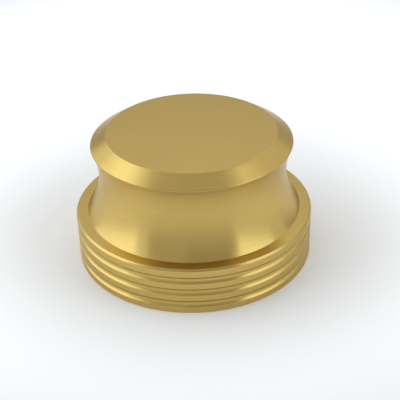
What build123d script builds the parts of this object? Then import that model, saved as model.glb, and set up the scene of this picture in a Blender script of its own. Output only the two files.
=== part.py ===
from build123d import *

import os
from math import radians, tan

# A record weight: one piece of aluminium, turned on a lathe and anodised gold.
# It stands with the spindle's axis along +Z, and its origin is the centre of the foot.
# From the floor up it has a drum-shaped base with scooped grooves in its wall, a flat shelf,
# a waisted neck that the fingers hold, and a bevelled crown. A blind bore in the underside
# drops over the turntable's spindle.

# Driving dimensions, in millimetres and degrees
TOTAL_HEIGHT = 44.0

BASE_DIAMETER = 80.0
BASE_HEIGHT = 16.5  # from the floor to the shelf
SHELF_WIDTH = 4.0  # flat ring between the neck's foot and the base's edge
RIM_CHAMFER = 0.4  # break of the shelf's outer edge
FOOT_CHAMFER = 0.2  # break of the edge that meets the floor

TOP_RING_HEIGHT = 2.8  # wall between the shelf and the top groove
GROOVE_WIDTH = 2.5
GROOVE_DEPTH = 0.7
LAND_HEIGHT = 2.0  # plain band of wall between two grooves

NECK_ARC_RADIUS = 24.0  # hollow that the fingers hold
KNOB_DIAMETER = 66.8
KNOB_CHAMFER = 0.3  # break of the knob's edge
BEVEL_WIDTH = 5.25  # level distance from the knob's edge to the flat crown
BEVEL_HEIGHT = 3.3

SPINDLE_DIAMETER = 7.2
SPINDLE_CLEARANCE = 0.1  # all round the spindle
BORE_DEPTH = 24.0  # from the floor to the end of the straight wall
BORE_LEAD_IN = 1.0  # chamfer at the bore's mouth
DRILL_POINT_ANGLE = 118.0

FOOT_WIDTH = 10.0  # ring of the underside that rests on the record's label
RELIEF_DEPTH = 0.8  # the underside within that ring stands this far clear

# Sizes that follow from them
base_radius = BASE_DIAMETER / 2
neck_foot = base_radius - SHELF_WIDTH
knob_radius = KNOB_DIAMETER / 2
knob_edge_height = TOTAL_HEIGHT - BEVEL_HEIGHT
crown_radius = knob_radius - BEVEL_WIDTH
bore_radius = SPINDLE_DIAMETER / 2 + SPINDLE_CLEARANCE
relief_radius = base_radius - FOOT_WIDTH
drill_point_height = bore_radius / tan(radians(DRILL_POINT_ANGLE / 2))

# The wall below the top ring carries as many grooves as it has room for, each over a land
groove_pitch = GROOVE_WIDTH + LAND_HEIGHT
groove_room = BASE_HEIGHT - TOP_RING_HEIGHT
groove_count = int(groove_room // groove_pitch)


def groove_heights():
    """Middle height of each groove, from the top one down."""
    top = groove_room - GROOVE_WIDTH / 2
    return [top - i * groove_pitch for i in range(groove_count)]


def break_corner(section, corner, size):
    """Chamfers the section's corner that lies at (distance from the axis, height)."""
    chamfer(section.vertices().sort_by_distance(corner)[0], size)


def outside_section():
    """Half section of the outside, from the axis to the grooved wall."""
    shelf_inside = (neck_foot, BASE_HEIGHT)
    shelf_outside = (base_radius, BASE_HEIGHT)
    foot_edge = (base_radius, 0)
    crown_edge = (crown_radius, TOTAL_HEIGHT)
    knob_edge = (knob_radius, knob_edge_height)
    with BuildSketch(Plane.XZ) as section:
        with BuildLine():
            Polyline(
                shelf_inside,
                shelf_outside,
                foot_edge,
                (0, 0),
                (0, TOTAL_HEIGHT),
                crown_edge,
                knob_edge,
            )
            RadiusArc(knob_edge, shelf_inside, -NECK_ARC_RADIUS)
        make_face()
        break_corner(section, knob_edge, KNOB_CHAMFER)
        break_corner(section, shelf_outside, RIM_CHAMFER)
        break_corner(section, foot_edge, FOOT_CHAMFER)
        for height in groove_heights():
            upper_lip = (base_radius, height + GROOVE_WIDTH / 2)
            lower_lip = (base_radius, height - GROOVE_WIDTH / 2)
            with BuildLine():
                Bezier(upper_lip, (base_radius - 2 * GROOVE_DEPTH, height), lower_lip)
                Line(lower_lip, upper_lip)
            make_face(mode=Mode.SUBTRACT)
    return section.sketch


def underside_section():
    """Half section of what is cut from below: the relief and the spindle bore."""
    with BuildSketch(Plane.XZ) as section:
        with BuildLine():
            Polyline(
                (0, 0),
                (relief_radius, 0),
                (relief_radius, RELIEF_DEPTH),
                (bore_radius + BORE_LEAD_IN, RELIEF_DEPTH),
                (bore_radius, RELIEF_DEPTH + BORE_LEAD_IN),
                (bore_radius, BORE_DEPTH),
                (0, BORE_DEPTH + drill_point_height),
                close=True,
            )
        make_face()
    return section.sketch


def turned_weight():
    """The whole weight: turned outside, then relieved and bored from below."""
    outside = revolve(outside_section(), axis=Axis.Z)
    underside = revolve(underside_section(), axis=Axis.Z)
    return outside - underside


os.makedirs("parts", exist_ok=True)
export_step(turned_weight(), "parts/turned_weight.step")
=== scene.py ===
"""Looks for a turned record weight: its body, finely meshed, its gold finish and its photo stage."""

import math

import bmesh
import bpy
from bpy.props import FloatProperty, FloatVectorProperty, IntProperty, PointerProperty
from mathutils import Matrix, Vector


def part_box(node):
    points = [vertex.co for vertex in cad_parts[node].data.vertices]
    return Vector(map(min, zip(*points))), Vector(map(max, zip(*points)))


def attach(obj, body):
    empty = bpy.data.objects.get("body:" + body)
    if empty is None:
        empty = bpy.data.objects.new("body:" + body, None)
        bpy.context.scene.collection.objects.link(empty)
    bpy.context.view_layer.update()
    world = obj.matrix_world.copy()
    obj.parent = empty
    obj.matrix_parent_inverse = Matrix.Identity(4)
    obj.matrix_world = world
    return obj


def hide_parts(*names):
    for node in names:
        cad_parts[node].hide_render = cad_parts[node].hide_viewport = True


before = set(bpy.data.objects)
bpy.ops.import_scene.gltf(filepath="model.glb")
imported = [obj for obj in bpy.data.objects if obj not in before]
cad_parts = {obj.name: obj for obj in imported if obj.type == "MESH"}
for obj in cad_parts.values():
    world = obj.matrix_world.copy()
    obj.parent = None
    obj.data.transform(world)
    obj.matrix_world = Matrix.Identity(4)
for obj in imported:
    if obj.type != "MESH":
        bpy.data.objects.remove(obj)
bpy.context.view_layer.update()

bl_info = {
    "name": "Turned record weight",
    "version": (1, 0, 0),
    "blender": (4, 5, 0),
    "location": "3D View > Sidebar > Record weight",
    "description": "Turns a gold record weight on its CAD part and stands it in a light tent",
    "category": "Object",
}

NODE = "turned_weight"
NODE_LOW, NODE_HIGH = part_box(NODE)
MIDDLE = (NODE_LOW + NODE_HIGH) / 2
MM = 0.001

# How finely the section is drawn
GROOVE_STEPS = 16
NECK_STEPS = 40
EDGE_SEGMENTS = 3  # on most of the small roundings
NECK_FOOT_SEGMENTS = 4
KNOB_EDGE_SEGMENTS = 6
RIM_SEGMENTS = 8
ROUND_PROFILE = 0.5  # form of a rounding, where 0.25 would cut the corner flat
MERGE_DISTANCE = 0.002 * MM
SMOOTH_ANGLE = math.radians(30)

# The drill that makes the bore ends it in a point
DRILL_POINT_ANGLE = math.radians(118)

# The finish
FILM_IOR = 1.6  # the clear anodic film is aluminium oxide
QUARTER_TURN = 0.25  # in full turns, as the shader counts them
CROWN_FADE_START = 0.3 * MM  # below the crown, where its smoother finish begins
CROWN_FADE_END = 0.05 * MM  # below the crown, where only that finish is left

# The floor, in metres
FLOOR_RADIUS = 8.0
FLOOR_CORNERS = 96

# Upright panels beside the weight, in metres. Each has a brighter middle that hangs just inside it.
LEFT_PANEL = {"side": -0.9, "front": -0.75, "back": 1.2, "bottom": 0.0, "top": 1.7}
LEFT_MIDDLE = {"side": -0.89, "front": -0.45, "back": 0.45, "bottom": 0.08, "top": 1.3}
RIGHT_PANEL = {"side": 0.9, "front": -1.0, "back": 0.25, "bottom": 0.0, "top": 1.7}
RIGHT_MIDDLE = {"side": 0.89, "front": -0.85, "back": -0.05, "bottom": 0.25, "top": 1.4}

# Panels and a scrim that hang over the weight and face it, in degrees and metres
BACK_PANEL = {"azimuth": 180, "elevation": 57, "distance": 0.9, "width": 2.04, "height": 1.08}
BACK_STRIP = {"azimuth": 188, "elevation": 50, "distance": 0.88, "width": 1.3, "height": 0.3}
SCRIM = {"azimuth": 14, "elevation": 45, "distance": 0.6, "width": 0.43, "height": 0.54}

# The camera, as it was fitted to the photograph. Its lens and sensor are in millimetres.
CAMERA_PLACE = Vector((0, -264.078, 179.99)) * MM
CAMERA_TARGET = Vector((2.166, 0, 17.046)) * MM
CAMERA_ROLL = math.radians(-1.638)
CAMERA_LENS = 81.564
CAMERA_SENSOR = 36.0


def linear(hex_colour):
    """An sRGB hex colour, such as #E0C080, as linear red, green and blue."""
    parts = [int(hex_colour[i : i + 2], 16) / 255 for i in (1, 3, 5)]
    return [part / 12.92 if part <= 0.04045 else ((part + 0.055) / 1.055) ** 2.4 for part in parts]


def length(name, description, default):
    """A length property, in metres."""
    return FloatProperty(name=name, description=description, default=default, unit="LENGTH", precision=5)


def share(name, description, default):
    """A property from 0 to 1."""
    return FloatProperty(
        name=name,
        description=description,
        default=default,
        subtype="FACTOR",
        min=0,
        max=1,
    )


def level(name, description, default):
    """A brightness property, where 1 is white."""
    return FloatProperty(name=name, description=description, default=default, min=0)


def colour(name, description, hex_colour):
    """A colour property."""
    return FloatVectorProperty(
        name=name,
        description=description,
        default=linear(hex_colour),
        subtype="COLOR",
    )


class WeightSizes(bpy.types.PropertyGroup):
    """The turned sizes, which match the CAD part, and the small roundings of its edges."""

    total_height: length("Height", "From the floor to the flat crown", NODE_HIGH.z)
    base_radius: length("Base radius", "From the axis to the base's wall", NODE_HIGH.x)
    base_height: length("Base height", "From the floor to the shelf", 16.5 * MM)
    shelf_width: length("Shelf width", "Flat ring round the neck's foot", 4.0 * MM)
    rim_radius: length("Rim break", "Break of the shelf's outer edge", 0.7 * MM)
    rim_profile: share("Rim profile", "Form of that break, where 0.25 is flat and 0.5 is round", 0.35)
    foot_edge_radius: length("Foot edge", "Rounding of the edge on the floor", 0.25 * MM)
    top_ring_height: length("Top ring", "Wall between the shelf and the top groove", 2.8 * MM)
    groove_width: length("Groove width", "Height of a groove's mouth", 2.5 * MM)
    groove_depth: length("Groove depth", "How far a groove is cut into the wall", 0.7 * MM)
    groove_lip_radius: length("Groove lip", "Rounding of a groove's edges", 0.15 * MM)
    land_height: length("Land height", "Plain wall between two grooves", 2.0 * MM)
    neck_arc_radius: length("Neck hollow", "Radius of the waisted neck's arc", 24.0 * MM)
    neck_foot_radius: length("Neck foot", "Rounding of the inner corner on the shelf", 0.2 * MM)
    knob_radius: length("Knob radius", "From the axis to the knob's edge", 33.4 * MM)
    knob_edge_radius: length("Knob edge", "Rounding of the knob's edge", 0.25 * MM)
    bevel_width: length("Bevel width", "From the knob's edge in to the crown", 5.25 * MM)
    bevel_height: length("Bevel height", "From the knob's edge up to the crown", 3.3 * MM)
    crown_edge_radius: length("Crown edge", "Rounding of the crown's edge", 0.3 * MM)
    bore_radius: length("Bore radius", "The bore that takes the spindle", 3.7 * MM)
    bore_depth: length("Bore depth", "From the floor to the straight wall's end", 24.0 * MM)
    bore_lead_in: length("Bore lead-in", "Chamfer at the bore's mouth", 1.0 * MM)
    foot_width: length("Foot width", "Ring of the underside that rests", 10.0 * MM)
    relief_depth: length("Relief depth", "How far the underside within that ring stands clear", 0.8 * MM)
    turn_steps: IntProperty(name="Steps", description="Facets in a full turn", default=256, min=32, max=512)


class WeightFinish(bpy.types.PropertyGroup):
    """The finish of the metal."""

    gold: colour("Gold", "Colour of the dyed anodic film over the metal", "#CAAC60")
    gold_drift: share("Gold drift", "How far the dye's strength drifts over the surface", 0.03)
    drift_size: length("Drift size", "Distance over which the dye's strength drifts", 14 * MM)
    roughness: share("Roughness", "How far the satin surface spreads a reflection", 0.24)
    stretch: share("Stretch", "How far the turning marks draw a reflection out across them", 0.95)
    crown_stretch: share("Crown stretch", "The same on the crown, which is blasted smoother", 0.3)
    film: share("Film", "Share of the clear film's own sheen", 0.24)
    film_roughness: share("Film roughness", "How far the clear film spreads that sheen", 0.25)
    edge: colour("Edge", "Tint of the metal seen at a grazing angle", "#EBE3D6")
    mark_pitch: length("Turning marks", "Distance between the lines that turning leaves", 0.45 * MM)
    mark_height: length("Mark height", "Height of those lines", 0.0026 * MM)
    mark_tone: share("Mark tone", "How far those lines differ in tone", 0.07)
    grain_size: length("Grain", "Size of the blasted grain", 0.3 * MM)
    grain_height: length("Grain height", "Height of the blasted grain", 0.002 * MM)
    grain_roughness: share("Grain roughness", "How far the grain varies the roughness", 0.03)


class WeightStage(bpy.types.PropertyGroup):
    """The paper, the lamps and the tent round the weight."""

    paper: colour("Paper", "Colour of the floor", "#F3F3F3")
    # The floor's painted glow: light painted onto the paper. It is dim at the weight's base, rises further
    # out, and fades beyond a painted pool of light centred behind the weight.
    painted_glow_shift: length("Glow shift", "How far behind the weight the floor's own light is centred", 14 * MM)
    painted_glow_start: length("Shadow radius", "Where the floor's own light starts to rise", 46 * MM)
    painted_glow_full: length("White radius", "Where the floor's own light is full", 100 * MM)
    painted_pool_shift: length("Pool shift", "How far behind the weight the pool of light is centred", 100 * MM)
    painted_pool_radius: length("Pool radius", "Size of the pool of light on the floor", 150 * MM)
    painted_pool_edge: length("Pool edge", "Width over which the pool fades", 70 * MM)
    painted_glow_at_base: level("Shadow glow", "Floor's own light at the base", 0.03)
    painted_glow_further_out: level("White glow", "Floor's own light further out", 0.2)
    tent: colour("Tent", "Colour of the light tent", "#FFFFFF")
    tent_level: level("Tent level", "Light of the tent all round", 0.575)
    daylight: colour("Panels", "Colour of the side panels, slightly cool", "#E6F5FF")
    left_level: level("Left panel", "Light of the left panel's edge", 0.5)
    left_middle: level("Left middle", "What the left panel's middle adds", 0.92)
    right_level: level("Right panel", "Light of the right panel's edge", 0.31)
    right_middle: level("Right middle", "What the right panel's middle adds", 1.02)
    back_level: level("Back panel", "Light of the panel over the back", 0.25)
    back_strip: level("Back strip", "What a narrow strip across the back panel adds", 0.38)
    scrim_level: level("Scrim", "Light through the scrim over the camera", 0.45)


def deselect_all():
    """Leaves nothing selected, so that an operator acts on the new piece alone."""
    bpy.ops.object.select_all(action="DESELECT")


def arc_centre(start, end, radius):
    """Centre of the arc from start to end that lies on the side away from the axis."""
    chord = end - start
    away = Vector((-chord.z, 0, chord.x)).normalized()
    if away.x < 0:
        away = -away
    return (start + end) / 2 + away * math.sqrt(radius**2 - chord.length_squared / 4)


class SectionPen:
    """Draws a half section on the XZ plane, in edit mode, from its first point to its last."""

    def __init__(self, name, start):
        deselect_all()
        bpy.ops.mesh.primitive_plane_add(size=MM, location=start)
        self.piece = bpy.context.object
        self.piece.name = name
        bpy.ops.object.transform_apply(location=True, rotation=False, scale=False)
        bpy.ops.object.mode_set(mode="EDIT")
        bpy.ops.mesh.select_all(action="SELECT")
        bpy.ops.mesh.merge(type="CENTER")
        self.end = Vector(start)

    def line_to(self, r, z):
        """A straight run to radius r and height z."""
        point = Vector((r, 0, z))
        bpy.ops.mesh.extrude_region_move(TRANSFORM_OT_translate={"value": point - self.end})
        self.end = point

    def arc_to(self, r, z, centre, steps):
        """A round stretch about centre to radius r and height z."""
        point = Vector((r, 0, z))
        first = self.end - centre
        last = point - centre
        angle = math.atan2(first.x * last.z - first.z * last.x, first.dot(last))
        bpy.ops.mesh.spin(steps=steps, angle=angle, center=centre, axis=(0, 1, 0))
        self.end = point

    def round_corner(self, r, z, radius, segments=EDGE_SEGMENTS, profile=ROUND_PROFILE):
        """Rounds the corner at radius r and height z."""
        mesh = bmesh.from_edit_mesh(self.piece.data)
        target = Vector((r, 0, z))
        corner = min(mesh.verts, key=lambda vert: (vert.co - target).length_squared)
        runs = [(edge.other_vert(corner).co - corner.co).normalized() for edge in corner.link_edges]
        turn = math.pi - runs[0].angle(runs[1])
        for vert in mesh.verts:
            vert.select_set(vert is corner)
        mesh.select_flush_mode()
        bmesh.update_edit_mesh(self.piece.data)
        offset = radius * math.tan(turn / 2)
        bpy.ops.mesh.bevel(offset=offset, segments=segments, profile=profile, affect="VERTICES")

    def turn(self, steps):
        """Turns the section about the axis into a closed body."""
        bpy.ops.mesh.select_all(action="SELECT")
        bpy.ops.mesh.spin(steps=steps, angle=2 * math.pi, center=(0, 0, 0), axis=(0, 0, 1))
        bpy.ops.mesh.select_all(action="SELECT")
        bpy.ops.mesh.remove_doubles(threshold=MERGE_DISTANCE)
        bpy.ops.mesh.normals_make_consistent(inside=False)
        bpy.ops.object.mode_set(mode="OBJECT")
        return self.piece


def draw_section(sizes):
    """The weight's half section, from the bore's drilled end round the outside to the crown."""
    wall = sizes.base_radius
    shelf = sizes.base_height
    relief = wall - sizes.foot_width
    bore = sizes.bore_radius
    drill_point = bore / math.tan(DRILL_POINT_ANGLE / 2)
    neck_foot = Vector((wall - sizes.shelf_width, 0, shelf))
    knob = Vector((sizes.knob_radius, 0, sizes.total_height - sizes.bevel_height))
    neck_centre = arc_centre(neck_foot, knob, sizes.neck_arc_radius)
    crown = sizes.knob_radius - sizes.bevel_width
    groove_arc = (sizes.groove_width**2 / 4 + sizes.groove_depth**2) / (2 * sizes.groove_depth)
    groove_pitch = sizes.groove_width + sizes.land_height
    groove_room = shelf - sizes.top_ring_height
    groove_count = int(groove_room // groove_pitch)
    groove_tops = [groove_room - i * groove_pitch for i in range(groove_count)]

    pen = SectionPen("gold_weight", (0, 0, sizes.bore_depth + drill_point))
    pen.line_to(bore, sizes.bore_depth)
    pen.line_to(bore, sizes.relief_depth + sizes.bore_lead_in)
    pen.line_to(bore + sizes.bore_lead_in, sizes.relief_depth)
    pen.line_to(relief, sizes.relief_depth)
    pen.line_to(relief, 0)
    pen.line_to(wall, 0)
    for upper in reversed(groove_tops):
        lower = upper - sizes.groove_width
        centre = Vector((wall - sizes.groove_depth + groove_arc, 0, (lower + upper) / 2))
        pen.line_to(wall, lower)
        pen.arc_to(wall, upper, centre, GROOVE_STEPS)
    pen.line_to(wall, shelf)
    pen.line_to(neck_foot.x, neck_foot.z)
    pen.arc_to(knob.x, knob.z, neck_centre, NECK_STEPS)
    pen.line_to(crown, sizes.total_height)
    pen.line_to(0, sizes.total_height)

    pen.round_corner(wall, 0, sizes.foot_edge_radius)
    for upper in groove_tops:
        pen.round_corner(wall, upper, sizes.groove_lip_radius)
        pen.round_corner(wall, upper - sizes.groove_width, sizes.groove_lip_radius)
    pen.round_corner(wall, shelf, sizes.rim_radius, RIM_SEGMENTS, sizes.rim_profile)
    pen.round_corner(neck_foot.x, neck_foot.z, sizes.neck_foot_radius, NECK_FOOT_SEGMENTS)
    pen.round_corner(knob.x, knob.z, sizes.knob_edge_radius, KNOB_EDGE_SEGMENTS)
    pen.round_corner(crown, sizes.total_height, sizes.crown_edge_radius)
    return pen


def add_node(tree, kind, links=None, **settings):
    """Adds a shader node, sets its properties and its unlinked sockets, and links the rest."""
    node = tree.nodes.new(kind)
    for key, value in settings.items():
        if hasattr(node, key):
            setattr(node, key, value)
        else:
            node.inputs[key.replace("_", " ")].default_value = value
    for socket, source in (links or {}).items():
        tree.links.new(source, node.inputs[socket])
    return node


def new_material(name):
    """An empty material and its node tree."""
    material = bpy.data.materials.new(name)
    material.use_nodes = True
    material.node_tree.nodes.clear()
    return material, material.node_tree


def satin_gold_anodised_aluminium(finish):
    """Aluminium, turned, fine blasted and dyed gold: a soft metallic glow with a faint grain."""
    material, tree = new_material("satin gold anodised aluminium")
    place = add_node(tree, "ShaderNodeTexCoord").outputs["Object"]

    # Turning marks run round the walls and the neck, and the level faces are blasted smooth.
    # The marks lie about 0.1 mm apart, and are drawn wider so that they show.
    split = add_node(tree, "ShaderNodeSeparateXYZ", {"Vector": place})
    marks = add_node(
        tree,
        "ShaderNodeTexNoise",
        {"W": split.outputs["Z"]},
        noise_dimensions="1D",
        Scale=1 / finish.mark_pitch,
        Detail=1.0,
    )
    lines = add_node(tree, "ShaderNodeBump", {"Height": marks.outputs["Fac"]}, Distance=finish.mark_height)

    # Blasted grain measures about 0.05 mm, and is drawn coarser so that it shows
    grain = add_node(tree, "ShaderNodeTexNoise", {"Vector": place}, Scale=1 / finish.grain_size, Detail=2.0)
    rough = add_node(
        tree,
        "ShaderNodeMapRange",
        {"Value": grain.outputs["Fac"]},
        To_Min=finish.roughness - finish.grain_roughness,
        To_Max=finish.roughness + finish.grain_roughness,
    )
    surface = add_node(
        tree,
        "ShaderNodeBump",
        {"Height": grain.outputs["Fac"], "Normal": lines.outputs["Normal"]},
        Distance=finish.grain_height,
    )

    # The dye is a little stronger here and weaker there, over about the width of a finger,
    # and it gathers in the turning marks
    drift = add_node(tree, "ShaderNodeTexNoise", {"Vector": place}, Scale=1 / finish.drift_size, Detail=1.0)
    strength = add_node(
        tree,
        "ShaderNodeMapRange",
        {"Value": drift.outputs["Fac"]},
        To_Min=1 - finish.gold_drift,
        To_Max=1 + finish.gold_drift,
    )
    streak = add_node(
        tree,
        "ShaderNodeMapRange",
        {"Value": marks.outputs["Fac"]},
        To_Min=1 - finish.mark_tone,
        To_Max=1 + finish.mark_tone,
    )
    tone = add_node(
        tree,
        "ShaderNodeMath",
        {0: strength.outputs["Result"], 1: streak.outputs["Result"]},
        operation="MULTIPLY",
    )
    dye = add_node(
        tree,
        "ShaderNodeHueSaturation",
        {"Value": tone.outputs["Value"]},
        Color=(*finish.gold, 1),
    )

    # The marks run round the axis, so a quarter turn from them is the way that they spread light.
    # The flat crown is blasted smoother, and spreads light more evenly.
    along_marks = add_node(tree, "ShaderNodeTangent", direction_type="RADIAL", axis="Z")
    stretch = add_node(
        tree,
        "ShaderNodeMapRange",
        {"Value": split.outputs["Z"]},
        From_Min=NODE_HIGH.z - CROWN_FADE_START,
        From_Max=NODE_HIGH.z - CROWN_FADE_END,
        To_Min=finish.stretch,
        To_Max=finish.crown_stretch,
    )
    shader = add_node(
        tree,
        "ShaderNodeBsdfPrincipled",
        {
            "Base Color": dye.outputs["Color"],
            "Roughness": rough.outputs["Result"],
            "Normal": surface.outputs["Normal"],
            "Coat Normal": surface.outputs["Normal"],
            "Tangent": along_marks.outputs["Tangent"],
            "Anisotropic": stretch.outputs["Result"],
        },
        Metallic=1.0,
        Specular_Tint=(*finish.edge, 1),
        Anisotropic_Rotation=QUARTER_TURN,
        Coat_Weight=finish.film,
        Coat_Roughness=finish.film_roughness,
        Coat_IOR=FILM_IOR,
    )
    add_node(tree, "ShaderNodeOutputMaterial", {"Surface": shader.outputs["BSDF"]})
    return material


class RECORDWEIGHT_OT_turn_body(bpy.types.Operator):
    """Turn the weight's body from its half section and give it its gold finish"""

    bl_idname = "recordweight.turn_body"
    bl_label = "Turn the body"

    def execute(self, context):
        sizes = context.scene.weight_sizes
        body = draw_section(sizes).turn(sizes.turn_steps)
        bpy.ops.object.shade_smooth_by_angle(angle=SMOOTH_ANGLE)
        body.modifiers.new("flat faces stay flat", "WEIGHTED_NORMAL").keep_sharp = True
        bpy.ops.object.modifier_apply(modifier="flat faces stay flat")
        body.data.materials.append(satin_gold_anodised_aluminium(context.scene.weight_finish))
        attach(body, "root")
        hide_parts(NODE)
        return {"FINISHED"}


def aim(item, position, target, roll=0.0):
    """Places a lamp, a scrim or the camera and turns its -Z axis to the target."""
    look = (target - position).to_track_quat("-Z", "Y").to_matrix().to_4x4()
    turn = Matrix.Rotation(roll, 4, "Z")
    item.matrix_world = Matrix.Translation(position) @ look @ turn


def around(azimuth, elevation, distance):
    """A point round the weight's middle. Azimuth 0 is the camera's side, and 90 is its right."""
    turn = math.radians(azimuth)
    lift = math.radians(elevation)
    way = Vector((math.cos(lift) * math.sin(turn), -math.cos(lift) * math.cos(turn), math.sin(lift)))
    return MIDDLE + way * distance


def white_paper_painted_glow(stage):
    """White paper with painted light: it keeps the weight's shadow, and a painted pool of glow makes it
    plain white further out.
    """
    material, tree = new_material("white paper and painted glow")
    paper = add_node(tree, "ShaderNodeBsdfDiffuse", Color=(*stage.paper, 1))
    place = add_node(tree, "ShaderNodeTexCoord").outputs["Object"]

    # The painted glow on the floor rises away from the weight
    near = add_node(tree, "ShaderNodeVectorMath", {0: place}, operation="DISTANCE")
    near.inputs[1].default_value = (0, stage.painted_glow_shift, 0)
    rise = add_node(
        tree,
        "ShaderNodeMapRange",
        {"Value": near.outputs["Value"]},
        interpolation_type="SMOOTHSTEP",
        From_Min=stage.painted_glow_start,
        From_Max=stage.painted_glow_full,
        To_Min=stage.painted_glow_at_base,
        To_Max=stage.painted_glow_further_out,
    )

    # The painted glow ends with a painted pool of light centred behind the weight, so the metal mirrors
    # plain paper beyond that
    far = add_node(tree, "ShaderNodeVectorMath", {0: place}, operation="DISTANCE")
    far.inputs[1].default_value = (0, stage.painted_pool_shift, 0)
    fall = add_node(
        tree,
        "ShaderNodeMapRange",
        {"Value": far.outputs["Value"]},
        interpolation_type="SMOOTHSTEP",
        From_Min=stage.painted_pool_radius,
        From_Max=stage.painted_pool_radius + stage.painted_pool_edge,
        To_Min=1.0,
        To_Max=0.0,
    )
    glow = add_node(
        tree,
        "ShaderNodeMath",
        {0: rise.outputs["Result"], 1: fall.outputs["Result"]},
        operation="MULTIPLY",
    )

    # Only the camera and clear or mirrored views of the floor show this painted glow, so the metal mirrors
    # it too
    rays = add_node(tree, "ShaderNodeLightPath")
    seen = add_node(
        tree,
        "ShaderNodeMath",
        {0: rays.outputs["Is Camera Ray"], 1: rays.outputs["Is Glossy Ray"]},
        operation="ADD",
    )
    shown = add_node(
        tree,
        "ShaderNodeMath",
        {0: seen.outputs["Value"], 1: rays.outputs["Is Transmission Ray"]},
        operation="ADD",
        use_clamp=True,
    )
    strength = add_node(
        tree,
        "ShaderNodeMath",
        {0: shown.outputs["Value"], 1: glow.outputs["Value"]},
        operation="MULTIPLY",
    )
    # This emission is the painted glow on the paper, not a lamp
    light = add_node(tree, "ShaderNodeEmission", {"Strength": strength.outputs["Value"]})
    both = add_node(tree, "ShaderNodeAddShader", {0: paper.outputs["BSDF"], 1: light.outputs["Emission"]})
    add_node(tree, "ShaderNodeOutputMaterial", {"Surface": both.outputs["Shader"]})
    return material


def white_scrim_cloth(stage):
    """Thin white cloth that lets less light through than the open tent gives."""
    material, tree = new_material("white scrim cloth")
    light = add_node(tree, "ShaderNodeEmission", Strength=stage.scrim_level)
    add_node(tree, "ShaderNodeOutputMaterial", {"Surface": light.outputs["Emission"]})
    return material


def lay_floor(stage):
    """A wide round of white paper under the weight."""
    bpy.ops.mesh.primitive_circle_add(vertices=FLOOR_CORNERS, radius=FLOOR_RADIUS, fill_type="NGON")
    floor = bpy.context.object
    floor.name = "floor"
    floor.data.materials.append(white_paper_painted_glow(stage))


def hang_scrim(stage, azimuth, elevation, distance, width, height):
    """A scrim over the camera, which gives the metal its darker front."""
    bpy.ops.mesh.primitive_plane_add(size=1.0)
    scrim = bpy.context.object
    scrim.name = "scrim"
    scrim.scale = (width, height, 1)
    bpy.ops.object.transform_apply(location=False, rotation=False, scale=True)
    aim(scrim, around(azimuth, elevation, distance), MIDDLE)
    scrim.data.materials.append(white_scrim_cloth(stage))


def light_panel(name, brightness, tint, place, target, width, height):
    """A lamp lit evenly over its area. Its power follows from its size and its brightness."""
    bpy.ops.object.light_add(type="AREA")
    lamp = bpy.context.object
    lamp.name = name
    lamp.data.shape = "RECTANGLE"
    lamp.data.size = width
    lamp.data.size_y = height
    lamp.data.energy = brightness * math.pi * width * height
    lamp.data.color = tint
    aim(lamp, place, target)


def side_panel(name, brightness, tint, side, front, back, bottom, top):
    """An upright light panel beside the weight, from front to back."""
    place = Vector((side, (front + back) / 2, (bottom + top) / 2))
    across = Vector((0, place.y, place.z))
    light_panel(name, brightness, tint, place, across, back - front, top - bottom)


def hanging_panel(name, brightness, tint, azimuth, elevation, distance, width, height):
    """A light panel over the weight that faces its middle."""
    light_panel(name, brightness, tint, around(azimuth, elevation, distance), MIDDLE, width, height)


class RECORDWEIGHT_OT_set_stage(bpy.types.Operator):
    """Lay the floor, light the tent and place the camera"""

    bl_idname = "recordweight.set_stage"
    bl_label = "Set the stage"

    def execute(self, context):
        scene = context.scene
        stage = scene.weight_stage
        scene.view_settings.view_transform = "Standard"
        deselect_all()
        lay_floor(stage)
        hang_scrim(stage, **SCRIM)

        world = bpy.data.worlds.new("light tent")
        world.use_nodes = True
        background = world.node_tree.nodes["Background"]
        background.inputs["Color"].default_value = (*stage.tent, 1)
        background.inputs["Strength"].default_value = stage.tent_level
        scene.world = world

        side_panel("left panel", stage.left_level, stage.daylight, **LEFT_PANEL)
        side_panel("left middle", stage.left_middle, stage.daylight, **LEFT_MIDDLE)
        side_panel("right panel", stage.right_level, stage.daylight, **RIGHT_PANEL)
        side_panel("right middle", stage.right_middle, stage.daylight, **RIGHT_MIDDLE)
        hanging_panel("back panel", stage.back_level, stage.tent, **BACK_PANEL)
        hanging_panel("back strip", stage.back_strip, stage.tent, **BACK_STRIP)

        bpy.ops.object.camera_add()
        camera = context.object
        camera.data.sensor_width = CAMERA_SENSOR
        camera.data.lens = CAMERA_LENS
        aim(camera, CAMERA_PLACE, CAMERA_TARGET, CAMERA_ROLL)
        scene.camera = camera
        return {"FINISHED"}


class RECORDWEIGHT_PT_sidebar(bpy.types.Panel):
    """Sizes, finish and stage of the record weight"""

    bl_idname = "RECORDWEIGHT_PT_sidebar"
    bl_label = "Record weight"
    bl_space_type = "VIEW_3D"
    bl_region_type = "UI"
    bl_category = "Record weight"

    def draw(self, context):
        scene = context.scene
        for operator, groups in (
            (RECORDWEIGHT_OT_turn_body, (scene.weight_sizes, scene.weight_finish)),
            (RECORDWEIGHT_OT_set_stage, (scene.weight_stage,)),
        ):
            box = self.layout.box()
            for group in groups:
                for name in group.__annotations__:
                    box.prop(group, name)
            box.operator(operator.bl_idname)


CLASSES = (
    WeightSizes,
    WeightFinish,
    WeightStage,
    RECORDWEIGHT_OT_turn_body,
    RECORDWEIGHT_OT_set_stage,
    RECORDWEIGHT_PT_sidebar,
)


def register():
    for cls in CLASSES:
        bpy.utils.register_class(cls)
    bpy.types.Scene.weight_sizes = PointerProperty(type=WeightSizes)
    bpy.types.Scene.weight_finish = PointerProperty(type=WeightFinish)
    bpy.types.Scene.weight_stage = PointerProperty(type=WeightStage)


def unregister():
    del bpy.types.Scene.weight_stage
    del bpy.types.Scene.weight_finish
    del bpy.types.Scene.weight_sizes
    for cls in reversed(CLASSES):
        bpy.utils.unregister_class(cls)


def main():
    register()
    bpy.ops.recordweight.turn_body()
    bpy.ops.recordweight.set_stage()


if __name__ == "__main__":
    main()
